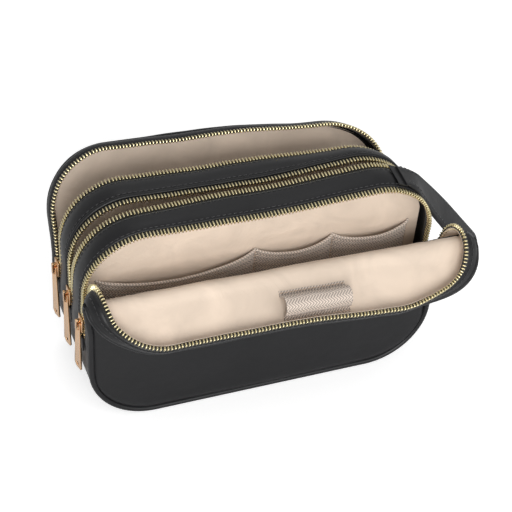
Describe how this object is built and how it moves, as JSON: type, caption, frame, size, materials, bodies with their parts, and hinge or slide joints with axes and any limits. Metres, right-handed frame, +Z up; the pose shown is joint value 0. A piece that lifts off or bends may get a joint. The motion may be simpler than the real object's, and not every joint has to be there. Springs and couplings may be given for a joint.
{
  "type": "cable organizer pouch",
  "caption": "Black zipped travel pouch for cables, standing open: fold-down front with elastic pockets and a pen loop, middle and back compartments, side carrying strap.",
  "frame": {"origin": "middle of the flat base, on the floor", "axes": "+Z up, +X to the right seen from the front, -Y out of the front panel"},
  "size_m": [0.2739, 0.1583, 0.1381],
  "materials": {
    "black_leather": "satin",
    "lining": "matte",
    "elastic": "matte",
    "zip_tape": "matte",
    "zip_teeth": "polished",
    "pull_metal": "polished"
  },
  "bodies": {
    "pouch_body": {"base_gusset": "black_leather", "base_lining": "lining", "front_panel_lower": "black_leather", "front_lining_lower": "lining", "front_piping_lower": "black_leather", "back_panel_lower": "black_leather", "back_lining_lower": "lining", "back_piping_lower": "black_leather", "front_divider_lower": "lining", "mid_divider": "lining", "mid_band": "black_leather", "mid_piping": "black_leather", "mid_zip_tape_rear": "zip_tape", "mid_zip_teeth_rear": "zip_teeth", "back_zip_tape_front": "zip_tape", "back_zip_teeth_front": "zip_teeth", "slip_pocket": "lining", "zip_end_tabs": "zip_tape"},
    "front_section": {"front_panel_middle": "black_leather", "front_lining_middle": "lining", "front_piping_middle": "black_leather", "front_strip": "black_leather", "front_band": "black_leather", "front_divider": "lining", "pocket_band": "elastic", "pocket_binding": "elastic", "front_zip_tape_upper": "zip_tape", "front_zip_teeth_upper": "zip_teeth", "front_zip_tape_lower": "zip_tape", "front_zip_teeth_lower": "zip_teeth", "mid_zip_tape_front": "zip_tape", "mid_zip_teeth_front": "zip_teeth", "carry_strap": "black_leather", "strap_patches": "black_leather"},
    "front_flap": {"flap_panel": "black_leather", "flap_lining": "lining", "flap_strip": "black_leather", "flap_piping": "black_leather", "flap_zip_tape": "zip_tape", "flap_zip_teeth": "zip_teeth", "pen_loop": "elastic"},
    "back_section": {"back_band": "black_leather", "back_panel_upper": "black_leather", "back_lining_upper": "lining", "back_piping_upper": "black_leather", "back_zip_tape_rear": "zip_tape", "back_zip_teeth_rear": "zip_teeth"},
    "front_slider": {"front_slider": "pull_metal"},
    "front_pull": {"front_pull": "pull_metal"},
    "mid_slider": {"mid_slider": "pull_metal"},
    "mid_pull": {"mid_pull": "pull_metal"},
    "back_slider": {"back_slider": "pull_metal"},
    "back_pull": {"back_pull": "pull_metal"}
  },
  "joints": [
    {"name": "front_section_fold", "type": "hinge", "parent": "pouch_body", "child": "front_section", "pos_m": [0, -0.0443, 0.062], "axis": [1, 0, 0], "range_deg": [-6, 5]},
    {"name": "front_flap_fold", "type": "hinge", "parent": "front_section", "child": "front_flap", "pos_m": [0, -0.04785, 0.09581], "axis": [0.9998, 0.0022, -0.0208], "range_deg": [-122, 28]},
    {"name": "back_section_fold", "type": "hinge", "parent": "pouch_body", "child": "back_section", "pos_m": [0, 0.0443, 0.062], "axis": [-1, 0, 0], "range_deg": [-22, 20]},
    {"name": "front_slider_run", "type": "slide", "parent": "front_section", "child": "front_slider", "axis": [0, -0.1045, 0.9945], "range_m": [0, 0.016]},
    {"name": "front_pull_swing", "type": "hinge", "parent": "front_slider", "child": "front_pull", "pos_m": [-0.1151, -0.02992, 0.07155], "axis": [0, 0.9945, 0.1045], "range_deg": [0, 170]},
    {"name": "mid_slider_run", "type": "slide", "parent": "pouch_body", "child": "mid_slider", "axis": [0, 0, 1], "range_m": [0, 0.016]},
    {"name": "mid_pull_swing", "type": "hinge", "parent": "mid_slider", "child": "mid_pull", "pos_m": [-0.1151, -0.001, 0.07], "axis": [0, 1, 0], "range_deg": [0, 170]},
    {"name": "back_slider_run", "type": "slide", "parent": "pouch_body", "child": "back_slider", "axis": [0, 0, 1], "range_m": [0, 0.016]},
    {"name": "back_pull_swing", "type": "hinge", "parent": "back_slider", "child": "back_pull", "pos_m": [-0.1151, 0.027, 0.07], "axis": [0, 1, 0], "range_deg": [0, 170]}
  ]
}
